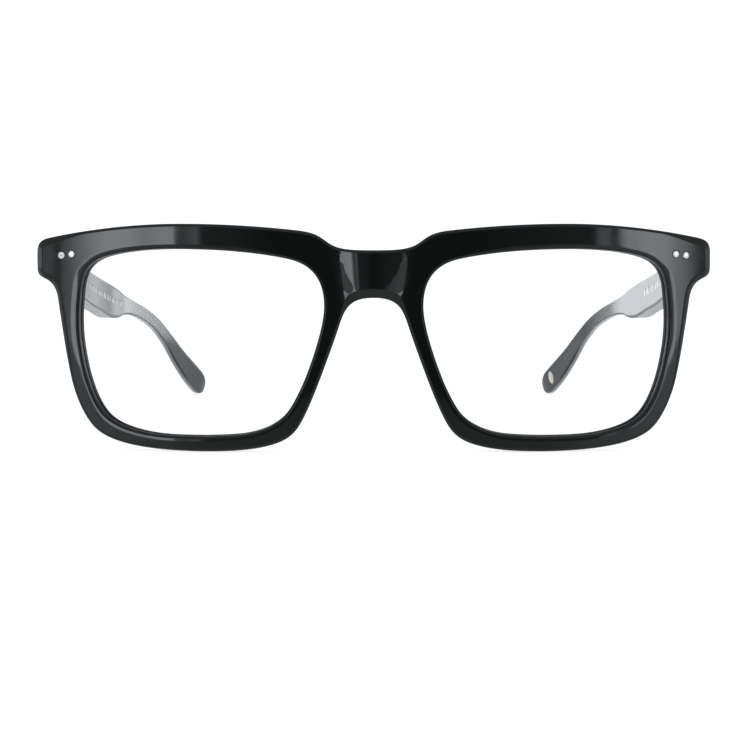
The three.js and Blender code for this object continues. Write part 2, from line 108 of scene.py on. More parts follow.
# ---- Outlines: a start point, then cubic segments of two handles and an end ----
FRONT_HALF = ((0, 42.7), (
    ((5.5, 42.7), (8, 42.85), (10, 44.5)),
    ((11.5, 45.74), (12.6, 46.45), (16, 46.85)),
    ((24.5, 47.8), (32.5, 48.24), (41, 48.24)),
    ((51, 48.24), (61, 47), (70, 45.15)),
    ((71.3, 44.87), (72.3, 44.3), (72.3, 42.6)),
    ((72.3, 41), (72.3, 39.8), (72.3, 38)),
    ((72.3, 37.3), (71.9, 36.95), (71.1, 36.7)),
    ((69.6, 36.1), (68.3, 35.4), (67.8, 32.8)),
    ((67.2, 28.5), (66.1, 20.6), (64.6, 14.5)),
    ((63.86, 11.5), (62.2, 7.3), (59.9, 4.85)),
    ((57.7, 2.6), (53.2, 1.08), (46, 0.42)),
    ((40, -0.15), (30, -0.3), (24, 0.92)),
    ((19.5, 1.85), (17, 3), (15.25, 6.5)),
    ((13.3, 10), (10.6, 17.3), (8.05, 24.5)),
    ((7.6, 25.8), (7.2, 27.1), (6.7, 28.5)),
    ((5.6, 31.3), (4.2, 32.66), (0, 32.66)),
))
LENS_OPENING = ((10.5, 31), (
    ((10.5, 36), (12.6, 39.6), (18, 40.8)),
    ((25, 42.3), (33.5, 42.88), (42, 42.88)),
    ((47, 42.88), (52.5, 42.5), (56.5, 41.4)),
    ((61.2, 40.2), (62.4, 37.7), (62.7, 32.5)),
    ((63.2, 28.5), (63.1, 24.3), (62.3, 20.2)),
    ((61.6, 15.9), (59.9, 10.3), (57.3, 7.6)),
    ((55, 5.25), (50, 3.75), (44.1, 3.35)),
    ((39.9, 3.15), (34.9, 3.15), (30.9, 3.45)),
    ((26.5, 3.6), (21.9, 4.7), (18.9, 7.75)),
    ((17.3, 9.3), (14.6, 15), (13.4, 18.6)),
    ((12.2, 22.2), (10.5, 27.2), (10.5, 31)),
))


def chain(outline):
    """Points along a chain of cubic segments, as [x, z] rows."""
    start, parts = outline
    rows = [np.array(start, float)]
    for handles in parts:
        a, b, end = (np.array(p, float) for p in handles)
        begin = rows[-1]
        for k in range(1, CURVE_POINTS + 1):
            t = k / CURVE_POINTS
            rows.append((1 - t) ** 3 * begin + 3 * t * (1 - t) ** 2 * a
                        + 3 * t * t * (1 - t) * b + t ** 3 * end)
    return np.array(rows)


def evened(loop, step):
    """A closed loop with its points spread evenly and its small kinks smoothed out."""
    closed = np.vstack([loop, loop[:1]])
    run = np.concatenate([[0], np.cumsum(np.linalg.norm(np.diff(closed, axis=0), axis=1))])
    count = int(round(run[-1] / step))
    at = np.arange(count) * run[-1] / count
    rows = np.column_stack([np.interp(at, run, closed[:, k]) for k in (0, 1)])
    return blurred(rows, 4)


def blurred(rows, times):
    """A closed loop of rows, each mixed with its neighbours a number of times."""
    for _ in range(times):
        rows = 0.5 * rows + 0.25 * (np.roll(rows, 1, 0) + np.roll(rows, -1, 0))
    return rows


def flipped(loop):
    """The mirror image of a loop in x, running the same way round."""
    return (loop * (-1, 1))[::-1]


def left_of(loop):
    """Unit normals to the left of a closed loop's direction of travel."""
    along = np.roll(loop, -1, 0) - np.roll(loop, 1, 0)
    along /= np.linalg.norm(along, axis=1)[:, None]
    return np.column_stack([-along[:, 1], along[:, 0]])


half = chain(FRONT_HALF)
OUTLINE = evened(np.vstack([half, flipped(half)[1:-1]]), STEP)
OPENING = {"left": evened(chain(LENS_OPENING)[:-1], STEP)}
OPENING["right"] = flipped(OPENING["left"])


def ease(value, start, end):
    """Eases from 0 to 1 as the value goes from a start to an end."""
    share = min(max((value - start) / (end - start), 0), 1)
    return share * share * (3 - 2 * share)


# ---- The wrapped front surface ----
FLAT_LOW = 34.3  # lowest point of the upper edge of the bridge's two flats
FLAT_SLOPE = 0.035
FLATS = ((4.3, 2.2), (2.4, 1.33))  # start from the middle and rise, on the right and on the left
CROWN_FADE = 22  # how far beyond the bridge the setback takes to run out
FLAT_FADE = 6


def bridge_edge(z):
    """Half width of the bridge's crown at a height."""
    return 6.1 + 0.135 * (z - 32.7)


def flat_line(x):
    """Height of the upper edge of the flats on the bridge's lower corners."""
    start, rise = FLATS[int(x > 0)]
    return FLAT_LOW + max(abs(x) - start, 0) * rise


def setback(x, z):
    """How far the front surface lies behind the wrap: a crowned bridge between two creases."""
    edge = bridge_edge(z)
    inner = min(abs(x), edge)
    crown = CROWN_SLOPE * (inner - edge / CROWN_TURN * (1 - math.exp(-CROWN_TURN * inner / edge)))
    beyond = abs(x) - edge
    flat = FLAT_SLOPE * max(flat_line(x) - max(z, FLAT_LOW), 0)
    return crown * (1 - ease(beyond, 0, CROWN_FADE)) + flat * (1 - ease(beyond, 0, FLAT_FADE))


def bent(x, depth, z):
    """Drawing-frame point for a flat point x, z at a depth behind the front surface."""
    t = depth + setback(x, z) * (1 - depth / FRONT_DEPTH)
    turn = math.asin(x / WRAP_RADIUS)
    sag = WRAP_RADIUS * (1 - math.cos(turn))
    return Vector((x - t * math.sin(turn), sag + t * math.cos(turn), z))


def rounded(corners, radii, steps=4):
    """A path with each inner corner replaced by a small arc of steps + 1 points."""
    path = [Vector(corners[0])]
    for k, radius in enumerate(radii, 1):
        at = Vector(corners[k])
        before = at + (Vector(corners[k - 1]) - at).normalized() * radius
        after = at + (Vector(corners[k + 1]) - at).normalized() * radius
        for s in range(steps + 1):
            t = s / steps
            path.append((1 - t) ** 2 * before + 2 * t * (1 - t) * at + t * t * after)
    path.append(Vector(corners[-1]))
    return path


def rim_path(x, z):
    """Inset and depth round the outer edge: wide facets on the end pieces, soft elsewhere."""
    end = ease(abs(x), 61, 71) * ease(z, 12, 26)
    nose = ease(abs(x), 7, 4) * ease(z, 36, 34)
    wide, deep = (SOFT_EDGE[k] + END_FACET[k] * end + NOSE_FACET[k] * nose for k in (0, 1))
    back = FRONT_DEPTH
    corners = ((wide + 0.2, 0), (wide, 0), (0, deep), (0, back - 0.45), (0.45, back), (1.0, back))
    return rounded(corners, (0.16, 0.28, 0.28, 0.28))


def opening_path(x, z):
    """Inset and depth round a lens opening, with the groove and the tighter lip behind it."""
    back = FRONT_DEPTH
    swell = SWELL * ease(abs(x), 60, 62) * ease(z, 40, 37) * ease(z, 18, 24)
    corners = (
        (1.75, 0), (1.6, 0), (0.42, swell), (0, 0.42), (0, GROOVE_AT - 0.3), (0.6, GROOVE_AT),
        (0, GROOVE_AT + 0.3), (-LIP, back - 0.35), (0.25, back), (0.8, back),
    )
    return rounded(corners, (0.14, 0.14, 0.2, 0.05, 0.04, 0.05, 0.22, 0.22))


SAWN_BANDS = range(13, 44)  # the bands of that path that lie on the wall, counted from the front


def rivet_path(_x, _z):
    """Inset and depth of the small recess round a rivet head, measured from its wall."""
    return rounded(((0.12, 0), (0.04, 0), (0, 0.04), (0, 0.4)), (0.03, 0.02), 2)


def circle(x, z, radius, count=40):
    turn = np.arange(count) * -2 * math.pi / count
    return np.column_stack([x + radius * np.cos(turn), z + radius * np.sin(turn)])


# ---- Meshes ----
class Shell:
    """Points and faces of one closed mesh, gathered strip by strip."""

    def __init__(self):
        self.points = []
        self.faces = []
        self.dull = []  # faces that take the piece's second material

    def add(self, points):
        first = len(self.points)
        self.points += points
        return list(range(first, len(self.points)))

    def band(self, a, b):
        """Quads between two closed rings of the same length."""
        for i in range(len(a)):
            j = (i + 1) % len(a)
            self.faces.append((a[i], a[j], b[j], b[i]))

    def cap(self, ring):
        """Closes a ring with a fan about its middle."""
        middle = sum((self.points[i] for i in ring), Vector((0, 0, 0))) / len(ring)
        hub = self.add([middle])[0]
        for i in range(len(ring)):
            self.faces.append((ring[i], ring[(i + 1) % len(ring)], hub))

    def skin(self, rings):
        """A closed body through a row of rings."""
        rows = [self.add(list(ring)) for ring in rings]
        for a, b in zip(rows, rows[1:]):
            self.band(a, b)
        self.cap(rows[0])
        self.cap(rows[-1])


def mirror_point(p):
    return Vector((-p[0], p[1], p[2]))


def make(name, shell, material, body, stands_for, crease=None, mirror=False, dull=None):
    """A piece from a shell in drawing millimetres, riding on a body in place of CAD nodes."""
    points = [mirror_point(p) for p in shell.points] if mirror else shell.points
    mesh = bpy.data.meshes.new(name)
    mesh.from_pydata([ORIGIN + Vector(p) * MM for p in points], [], shell.faces)
    mesh.materials.append(material)
    if dull:
        mesh.materials.append(dull)
        for i in shell.dull:
            mesh.polygons[i].material_index = 1
    mesh.validate()
    piece = bpy.data.objects.new(name, mesh)
    bpy.context.scene.collection.objects.link(piece)
    face_out(mesh)
    mesh.shade_smooth()
    if crease:
        mesh.set_sharp_from_angle(angle=math.radians(crease))
    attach(piece, body)
    if stands_for:
        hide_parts(*stands_for)
    return piece


def face_out(mesh):
    """Turns every shell of a mesh so that its faces point out."""
    work = bmesh.new()
    work.from_mesh(mesh)
    bmesh.ops.recalc_face_normals(work, faces=work.faces)
    work.to_mesh(mesh)
    work.free()


def inside(points, loop):
    """Which of the points lie inside a closed loop."""
    x, z = points[:, 0][:, None], points[:, 1][:, None]
    x0, z0 = loop[:, 0][None], loop[:, 1][None]
    x1, z1 = np.roll(loop[:, 0], -1)[None], np.roll(loop[:, 1], -1)[None]
    crosses = (z0 > z) != (z1 > z)
    slope = (x1 - x0) * (z - z0) / np.where(z1 == z0, 1e-9, z1 - z0) + x0
    return (np.sum(crosses & (x < slope), axis=1) % 2) == 1


def far_from(points, loop, distance):
    """Which of the points keep a distance from every point of a loop."""
    gap = np.hypot(points[:, 0][:, None] - loop[:, 0], points[:, 1][:, None] - loop[:, 1])
    return gap.min(axis=1) > distance


def sheet(shell, outer, holes, extra, depth):
    """Fills the flat face between an outer ring and its holes, each a loop with its indices."""
    rings = [outer, *holes]
    flat = [row for loop, _ in rings for row in loop]
    ids = [i for _, ring in rings for i in ring]
    edges = []
    first = 0
    for loop, _ in rings:
        count = len(loop)
        edges += [(first + i, first + (i + 1) % count) for i in range(count)]
        first += count
    keep = inside(extra, outer[0])
    for loop, _ in holes:
        keep &= ~inside(extra, loop)
    for loop, _ in rings:
        keep &= far_from(extra, loop, 0.7)
    inner = extra[keep]
    ids += shell.add([bent(x, depth, z) for x, z in inner])
    flat += list(inner)
    done = geometry.delaunay_2d_cdt([Vector(p) for p in flat], edges, [], 0, 1e-6)
    spots = np.array([tuple(v) for v in done[0]])
    faces = [tuple(f) for f in done[2]]
    middles = np.array([spots[list(f)].mean(axis=0) for f in faces])
    good = inside(middles, outer[0])
    for loop, _ in holes:
        good &= ~inside(middles, loop)
    original = done[3]
    for face, wanted in zip(faces, good):
        if wanted:
            shell.faces.append(tuple(ids[original[i][0]] for i in face))


def edge_rings(shell, loop, into, path_at, dull=()):
    """Rings of points swept along a loop, and the flat loops of the first and the last."""
    paths = [path_at(x, z) for x, z in loop]
    rows = []
    flats = []
    for k in range(len(paths[0])):
        flat = loop + into * np.array([path[k][0] for path in paths])[:, None]
        rows.append(shell.add([bent(x, path[k][1], z) for (x, z), path in zip(flat, paths)]))
        flats.append(flat)
    for k, (a, b) in enumerate(zip(rows, rows[1:])):
        first = len(shell.faces)
        shell.band(a, b)
        if k in dull:
            shell.dull += range(first, len(shell.faces))
    return (flats[0], rows[0]), (flats[-1], rows[-1])


def face_grid():
    """Points for the inside of the front's faces, closer together on the crowned bridge."""
    wide = [(x, z) for x in np.arange(-72, 72.1, 2) for z in np.arange(1, 48, 2) if abs(x) > 13]
    close = [(x, z) for x in np.arange(-12, 12.1, 0.6) for z in np.arange(30, 47, 0.8)
             if abs(abs(x) - bridge_edge(z)) > 0.45 and abs(z - flat_line(x)) > 0.45]
    creases = [(side * (bridge_edge(z) + shift), z)
               for side in (-1, 1) for shift in (-0.18, 0, 0.18) for z in np.arange(33, 45, 0.4)]
    flats = [(x, flat_line(x) + shift) for x in np.arange(-5.8, 5.9, 0.4) for shift in (-0.15, 0.15)]
    return np.array(wide + close + creases + flats)


def front_shell():
    shell = Shell()
    into = blurred(-left_of(OUTLINE), 30)  # spread out at tight corners, so that rings don't cross
    into /= np.linalg.norm(into, axis=1)[:, None]
    outer_front, outer_back = edge_rings(shell, OUTLINE, into, rim_path)
    front_holes = []
    back_holes = []
    for side in ("left", "right"):
        loop = OPENING[side]
        front, back = edge_rings(shell, loop, left_of(loop), opening_path, SAWN_BANDS)
        front_holes.append(front)
        back_holes.append(back)
    for x, z in RIVETS.values():
        for side in (1, -1):
            loop = circle(side * x, z, RIVET_RECESS_R)
            front, bottom = edge_rings(shell, loop, left_of(loop), rivet_path)
            front_holes.append(front)
            shell.cap(bottom[1])
    grid = face_grid()
    sheet(shell, outer_front, front_holes, grid, 0)
    sheet(shell, outer_back, back_holes, grid, FRONT_DEPTH)
    return shell


def lens_shell(loop):
    """A domed clear lens that thins out near the opening and runs into the groove."""
    shell = Shell()
    middle = loop.mean(axis=0)
    into = left_of(loop)

    def domed(share, offset, grow):
        flat = middle + (loop + into * grow - middle) * share
        depth = GROOVE_AT + offset - LENS_DOME * (1 - share * share)
        return [plain_bent(x, depth, z) for x, z in flat]

    shares = [0.02] + [k / 16 for k in range(1, 17)]
    front = [domed(share, -LENS_HALF, -LENS_THINS) for share in shares]
    ridge = [domed(1, offset, grow) for offset, grow in LENS_BEVEL]
    back = [domed(share, LENS_HALF - 0.05, -LENS_THINS) for share in reversed(shares)]
    shell.skin([*front, *ridge, *back])
    return shell


def plain_bent(x, depth, z):
    """As bent, but following the wrap alone."""
    turn = math.asin(x / WRAP_RADIUS)
    sag = WRAP_RADIUS * (1 - math.cos(turn))
    return Vector((x - depth * math.sin(turn), sag + depth * math.cos(turn), z))


def pad_shell():
    """A rounded nose pad that grows out of the back of the rim."""
    shell = Shell()
    half_wide, half_high = PAD_HALF
    rings = []
    for k in range(17):
        turn = math.radians(k * 89 / 16)
        share = math.sin(turn)
        shrink = math.cos(turn) ** 0.7
        ring = []
        for i in range(56):
            spin = i / 56 * 2 * math.pi
            up = half_high * shrink * math.sin(spin)
            across = half_wide * shrink * math.cos(spin)
            x = PAD_MIDDLE[0] + PAD_SPREAD * share - PAD_LEAN * up + across
            depth = FRONT_DEPTH - PAD_SUNK + PAD_OUT * share
            ring.append(plain_bent(x, depth, PAD_MIDDLE[1] + up))
        rings.append(ring)
    shell.skin(rings)
    return shell


# ---- Temples, drawn for the wearer's left in the hinge frame ----
# Distance back, middle across, middle height, section height, thickness, corner radius.
STATIONS = np.array([
    (-4, 3.9, -0.2, 6.9, 4, 0.9),
    (10, 3.9, -0.25, 7.1, 4, 0.9),
    (24, 3.9, -0.4, 7.4, 4, 0.85),
    (40, 3.9, -0.65, 7.8, 4, 0.8),
    (54, 3.65, -0.85, 8.1, 4, 0.8),
    (66, 2.7, -1.05, 8.2, 3.9, 0.75),
    (75, 1.6, -1.4, 8.4, 3.8, 0.75),
    (82, 0.4, -1.4, 7.3, 3.6, 0.7),
    (88, -0.75, -1.15, 5, 3.3, 0.5),
    (95, -2.5, -1.3, 3.7, 3, 0.3),
    (103, -4.9, -2.3, 3.5, 2.7, 0.25),
    (110, -7.23, -4.15, 3.6, 2.5, 0.25),
    (117, -9.67, -7.5, 4, 2.5, 0.3),
    (123.5, -12.07, -11.5, 5.2, 2.5, 0.5),
    (130, -14.6, -15.2, 6.3, 2.6, 0.6),
    (138, -18, -19.4, 6.4, 2.6, 0.6),
])


def at_station(back):
    """The station values at a distance back, on smooth curves through the table."""
    places = STATIONS[:, 0]
    values = STATIONS[:, 1:]
    slopes = np.gradient(values, places, axis=0)
    k = int(np.clip(np.searchsorted(places, back) - 1, 0, len(places) - 2))
    span = places[k + 1] - places[k]
    t = (back - places[k]) / span
    return ((2 * t ** 3 - 3 * t ** 2 + 1) * values[k] + (t ** 3 - 2 * t ** 2 + t) * span * slopes[k]
            + (3 * t ** 2 - 2 * t ** 3) * values[k + 1] + (t ** 3 - t ** 2) * span * slopes[k + 1])


def section(back):
    """Middle, sideways and up directions of the temple's section, upright when worn."""
    across, up = at_station(back)[:2]
    ahead = at_station(back + 0.05)
    behind = at_station(back - 0.05)
    along = Vector((ahead[0] - behind[0], 0.1, ahead[1] - behind[1])).normalized()
    upright = Matrix.Rotation(TEMPLE_PITCH, 3, "X") @ Vector((0, 0, 1))
    sideways = along.cross(upright).normalized()
    return Vector((across, back, up)), sideways, sideways.cross(along).normalized()


def to_hinge(p):
    """Drawing-frame point for a point of the left hinge frame."""
    return HINGE + Matrix.Rotation(-TEMPLE_PITCH, 3, "X") @ Vector(p)


def rounded_rectangle(half_wide, half_high, corner, low_outer=0, steps=6):
    """Sideways and up pairs round a section, whose low outer corner can be rounder.

    A point stands close beside each end of every corner, to keep the sides flat.
    """
    points = []
    for quarter, (sx, sz) in enumerate(((1, 1), (-1, 1), (-1, -1), (1, -1))):
        radius = max(low_outer, corner) if quarter == 3 else corner
        middle = (sx * (half_wide - radius), sz * (half_high - radius))
        arc = []
        for k in range(steps + 1):
            turn = (quarter + k / steps) * math.pi / 2
            arc.append((middle[0] + radius * math.cos(turn), middle[1] + radius * math.sin(turn)))
        start = quarter * math.pi / 2 - math.pi / 2
        end = (quarter + 1) * math.pi / 2
        first = (arc[0][0] + CORNER_HOLD * math.cos(start), arc[0][1] + CORNER_HOLD * math.sin(start))
        last = (arc[-1][0] - CORNER_HOLD * math.sin(end), arc[-1][1] + CORNER_HOLD * math.cos(end))
        points += [first, *arc, last]
    return points


def temple_ring(back, wide=1.0, high=1.0):
    """The temple's section at a distance back, narrowed and lowered by two shares."""
    _, _, tall, thick, radius = at_station(back)
    half_wide = thick / 2 * wide
    half_high = tall / 2 * high
    radius = min(radius, half_wide - CORNER_ROOM, half_high - CORNER_ROOM)
    room = 2 * min(half_wide, half_high) - radius - 2 * CORNER_ROOM
    low_outer = min(radius + LOW_ROUND * ease(back, 84, 98), room)
    middle, sideways, upwards = section(back)
    pairs = rounded_rectangle(half_wide, half_high, radius, low_outer)
    return [middle + sideways * a + upwards * b for a, b in pairs]


def shoulder_rings():
    """Rings that close the temple on the plane that meets the back of the front."""
    turn = math.asin(SHOULDER_X / WRAP_RADIUS)
    foot = plain_bent(SHOULDER_X, FRONT_DEPTH + SHOULDER_GAP, HINGE.z)
    normal = Matrix.Rotation(TEMPLE_PITCH, 3, "X") @ Vector((-math.sin(turn), math.cos(turn), 0))
    foot = Matrix.Rotation(TEMPLE_PITCH, 3, "X") @ (foot - HINGE)
    across, up, tall, thick, radius = at_station(0)
    rings = []
    for inset, shift in ((0.6, 0), (0.3, 0), (0.16, 0.03), (0.06, 0.1), (0, 0.26), (0, 0.5)):
        ring = []
        pairs = rounded_rectangle(thick / 2 - inset, tall / 2 - inset, max(radius - inset, 0.3))
        for a, b in pairs:
            x, z = across + a, up + b
            y = foot.y - ((x - foot.x) * normal.x + (z - foot.z) * normal.z) / normal.y
            ring.append(Vector((x, y + shift, z)))
        rings.append(ring)
    return rings


def temple_shell():
    shell = Shell()
    rings = shoulder_rings()
    last = TEMPLE_END - TIP_ROUND
    count = 150
    rings += [temple_ring(2 + (last - 2) * k / count) for k in range(count + 1)]
    for turn in range(8, 89, 8):
        angle = math.radians(turn)
        rings.append(temple_ring(last + TIP_ROUND * math.sin(angle), 0.4 + 0.6 * math.cos(angle) ** 0.6,
                                 max(math.cos(angle), 0.12)))
    shell.skin([[to_hinge(p) for p in ring] for ring in rings])
    return shell


# ---- Small turned and flat parts ----
def spun(radius, along, place, count):
    """A ring of points about an axis, set in place by a function."""
    ring = []
    for i in range(count):
        spin = i / count * 2 * math.pi
        ring.append(place(radius * math.cos(spin), radius * math.sin(spin), along))
    return ring


def turned(shell, profile, place, count=40):
    """A body of revolution: radius and distance pairs, set in place by a function."""
    shell.skin([spun(radius, along, place, count) for radius, along in profile])


def tube(shell, outer, bore, low, high, place, count=40):
    """A knuckle: a short tube with chamfered rims."""
    edge = 0.1
    profile = ((bore, low + edge), (bore + edge, low), (outer - edge, low), (outer, low + edge),
               (outer, high - edge), (outer - edge, high), (bore + edge, high), (bore, high - edge))
    rows = [shell.add(spun(radius, along, place, count)) for radius, along in profile]
    for a, b in zip(rows, rows[1:] + rows[:1]):
        shell.band(a, b)


def slab(shell, size, radius, place):
    """A flat plate with rounded corners and eased edges: half sizes and half thickness."""
    half_wide, half_high, half_thick = size
    edge = 0.1
    rings = []
    levels = ((edge, -half_thick), (0, edge - half_thick), (0, half_thick - edge), (edge, half_thick))
    for inset, level in levels:
        pairs = rounded_rectangle(half_wide - inset, half_high - inset, radius - inset / 2)
        rings.append([place(a, b, level) for a, b in pairs])
    shell.skin(rings)


def on_front(x, z):
    """Places a point given across, up and behind the surface at x, z of the front."""
    turn = math.asin(x / WRAP_RADIUS)
    foot = plain_bent(x, 0, z)

    def place(a, b, depth):
        return foot + Vector((a * math.cos(turn) - depth * math.sin(turn),
                              a * math.sin(turn) + depth * math.cos(turn), b))
    return place


def on_pin(a, b, along):
    """Places a point given about and along the hinge pin."""
    return to_hinge((a, b, along))


def knuckle_low(slot):
    """Lower end of the knuckle in one of the hinge's five slots."""
    return (slot - 2.5) * KNUCKLE_PITCH + (KNUCKLE_PITCH - KNUCKLE_H) / 2


def web(shell, x0, x1, y0, y1, low):
    """A short block that ties a knuckle to its plate."""
    def place(a, b, level):
        return to_hinge(((x0 + x1) / 2 + a, (y0 + y1) / 2 + b, low + KNUCKLE_H / 2 + level))
    slab(shell, ((x1 - x0) / 2, (y1 - y0) / 2, KNUCKLE_H / 2), 0.2, place)


def front_leaf_shell():
    """The plate, three knuckles and clinched rivet ends behind an end piece."""
    shell = Shell()
    place = on_front(RIVETS["outer"][0], HINGE.z)
    depth = FRONT_DEPTH - 0.5 + LEAF_THICK / 2
    half_size = (2.5, LEAF_HALF, LEAF_THICK / 2)
    slab(shell, half_size, 0.7, lambda a, b, level: place(a - 1.2, b, depth + level))
    for slot in (0, 2, 4):
        low = knuckle_low(slot)
        tube(shell, KNUCKLE_R, KNUCKLE_BORE, low, low + KNUCKLE_H, on_pin)
        web(shell, -1.2, 0.9, -2.4 - math.tan(TEMPLE_PITCH) * (low + KNUCKLE_H / 2), -0.8, low)
    clinch = ((0.02, 5.0), (0.3, 4.95), (0.55, 4.75), (0.62, 4.3), (0.02, 4.3))
    for x, z in RIVETS.values():
        turned(shell, clinch, on_front(x, z), 24)
    return shell


def temple_leaf_shell():
    """The plate, two knuckles and clinched rivet ends on a temple's inner face."""
    shell = Shell()
    middle = INNER_FACE - 0.35 + LEAF_THICK / 2
    half_size = (5.5, 2.4, LEAF_THICK / 2)
    slab(shell, half_size, 0.9, lambda a, b, level: to_hinge((middle + level, 6.8 + a, b)))
    for slot in (1, 3):
        low = knuckle_low(slot)
        tube(shell, KNUCKLE_R, KNUCKLE_BORE, low, low + KNUCKLE_H, on_pin)
        web(shell, 0.5, INNER_FACE + 0.2, 0.6, 3, low)
    clinch = ((0.02, 1.2), (0.3, 1.24), (0.55, 1.4), (0.62, 1.7), (0.02, 1.7))
    for back in TEMPLE_RIVETS.values():
        turned(shell, clinch, lambda a, b, along, back=back: to_hinge((along, back + a, b)), 24)
    return shell


def screw_shell():
    """A hinge screw whose round head is cut across by a slot."""
    shell = Shell()
    top = 2.5 * KNUCKLE_PITCH
    profile = (
        (0.02, -top), (SCREW_R - 0.1, -top), (SCREW_R, 0.1 - top), (SCREW_R, top + 0.1),
        (1.05, top + 0.1), (SCREW_HEAD_R, top + 0.2), (SCREW_HEAD_R, top + 0.4), (0.02, top + 0.4),
    )
    turned(shell, profile, on_pin)
    for side in (1, -1):
        rings = []
        for inset, rise in ((0, 0.35), (0, 0.5), (0.04, 0.6), (0.14, 0.68), (0.3, 0.72)):
            radius = SCREW_HEAD_R - inset
            start = math.asin((SLOT_HALF + inset / 4) / radius)
            turns = np.linspace(start, math.pi - start, 18)
            rings.append([on_pin(radius * math.cos(turn), side * radius * math.sin(turn), top + rise)
                          for turn in turns])
        shell.skin(rings)
    return shell


def rivet_shell(place, dimple):
    """A low domed rivet head with a short shank, optionally with a dimple in its middle."""
    head = RIVET_HEAD_R
    crown = [(0.02, 0.06), (0.16, 0.05), (0.26, -0.02)] if dimple else [(0.02, -0.05), (0.26, -0.05)]
    profile = [*crown, (head * 0.55, -0.045), (head * 0.8, -0.02), (head * 0.93, 0.03), (head, 0.12),
               (head, 0.5), (0.02, 0.5)]
    shell = Shell()
    turned(shell, profile, place, 36)
    return shell


def temple_rivet_place(back):
    """Places a point given about and behind a rivet head on the temple's outer face."""
    return lambda a, b, depth: to_hinge((OUTER_FACE - depth, back + a, b))


def face_point(back, along, up, out):
    """A point on the temple's inner face about a distance back, out towards the head."""
    middle, sideways, upwards = section(back + along)
    thick = at_station(back + along)[3]
    return to_hinge(middle - sideways * (thick / 2 + out) + upwards * up)


def inlay_shell():
    """A thin oval plate, slightly domed, set into the temple's inner face."""
    shell = Shell()
    half_long, half_high = INLAY_HALF
    rings = []
    for grow, out in ((1, -0.3), (1, 0.0), (0.95, 0.04), (0.6, 0.055), (0.3, 0.06), (0.02, 0.06)):
        ring = []
        for i in range(48):
            spin = i / 48 * 2 * math.pi
            along = half_long * grow * math.cos(spin)
            up = half_high * grow * math.sin(spin)
            ring.append(face_point(INLAY_AT, along, up, out))
        rings.append(ring)
    shell.skin(rings)
    return shell


def mark_shell(bars):
    """Plain printed bars on the inner face: distance back, length, low and high edges."""
    shell = Shell()
    for back, length, low, high in bars:
        corners = ((0, low), (length, low), (length, high), (0, high))
        rings = [[face_point(back, a, b, out) for a, b in corners] for out in (-0.02, 0.012)]
        shell.skin(rings)
    return shell


# ---- Materials ----
def material(name, **inputs):
    """A material with some of its shader's inputs set, its node tree and that shader."""
    made = bpy.data.materials.new(name)
    made.use_nodes = True
    shader = made.node_tree.nodes["Principled BSDF"]
    for key, value in inputs.items():
        shader.inputs[key.replace("_", " ")].default_value = value
    return made, made.node_tree, shader


def noise(tree, scale, detail=3.0):
    """Noise fixed to the piece, about 0.5."""
    coords = tree.nodes.new("ShaderNodeTexCoord")
    made = tree.nodes.new("ShaderNodeTexNoise")
    made.inputs["Scale"].default_value = scale
    made.inputs["Detail"].default_value = detail
    tree.links.new(coords.outputs["Object"], made.inputs["Vector"])
    return made.outputs["Fac"]


def ranged(tree, source, low, high, start=0.3, end=0.7):
    """Goes from low to high as the source goes from a start to an end."""
    made = tree.nodes.new("ShaderNodeMapRange")
    for key, value in (("From Min", start), ("From Max", end), ("To Min", low), ("To Max", high)):
        made.inputs[key].default_value = value
    tree.links.new(source, made.inputs["Value"])
    return made.outputs["Result"]


def bumped(tree, shader, source, strength, distance):
    bump = tree.nodes.new("ShaderNodeBump")
    bump.inputs["Strength"].default_value = strength
    bump.inputs["Distance"].default_value = distance
    tree.links.new(source, bump.inputs["Height"])
    tree.links.new(bump.outputs["Normal"], shader.inputs["Normal"])


def acetate_material(name, wavy):
    """Polished black acetate, deep green-black, and on the front slightly wavy from polishing."""
    made, tree, shader = material(name, IOR=1.5)
    mix = tree.nodes.new("ShaderNodeMix")
    mix.data_type = "RGBA"
    mix.inputs[6].default_value = (0.0036, 0.0052, 0.0047, 1)
    mix.inputs[7].default_value = (0.0046, 0.0064, 0.0058, 1)
    tree.links.new(ranged(tree, noise(tree, 60), 0, 1), mix.inputs[0])
    tree.links.new(mix.outputs[2], shader.inputs["Base Color"])
    tree.links.new(ranged(tree, noise(tree, 300, 3), 0.03, 0.06), shader.inputs["Roughness"])
    if wavy:
        bumped(tree, shader, noise(tree, 90, 1), 0.1, 0.00003)
    return made


def sawn_material():
    """The cut walls of the openings: a violet-grey sheen with fine lines along the cut."""
    made, tree, shader = material("acetate_cut", Base_Color=(0.012, 0.011, 0.016, 1), IOR=1.15)
    coords = tree.nodes.new("ShaderNodeTexCoord")
    lines = tree.nodes.new("ShaderNodeTexWave")
    lines.bands_direction = "Y"
    for key, value in (("Scale", 420), ("Distortion", 3), ("Detail", 2), ("Detail Scale", 60)):
        lines.inputs[key].default_value = value
    tree.links.new(coords.outputs["Object"], lines.inputs["Vector"])
    tree.links.new(ranged(tree, noise(tree, 700), 0.3, 0.42), shader.inputs["Roughness"])
    bumped(tree, shader, lines.outputs["Fac"], 0.05, 0.00002)
    return made


def lens_material():
    """Clear coated lens: nearly all light passes straight through, a little is mirrored."""
    return material(
        "lens", Base_Color=(0.02, 0.018, 0.04, 1), Roughness=0.0, IOR=1.5, Alpha=0.03)[0]


def metal_material(name, colour, low, high, grain, bumpy=True):
    """Metal with a fine grain that varies its gloss."""
    made, tree, shader = material(name, Base_Color=(*colour, 1), Metallic=1.0)
    tree.links.new(ranged(tree, noise(tree, grain, 4), low, high), shader.inputs["Roughness"])
    if bumpy:
        bumped(tree, shader, noise(tree, grain * 2, 2), 0.15, 0.00002)
    return made


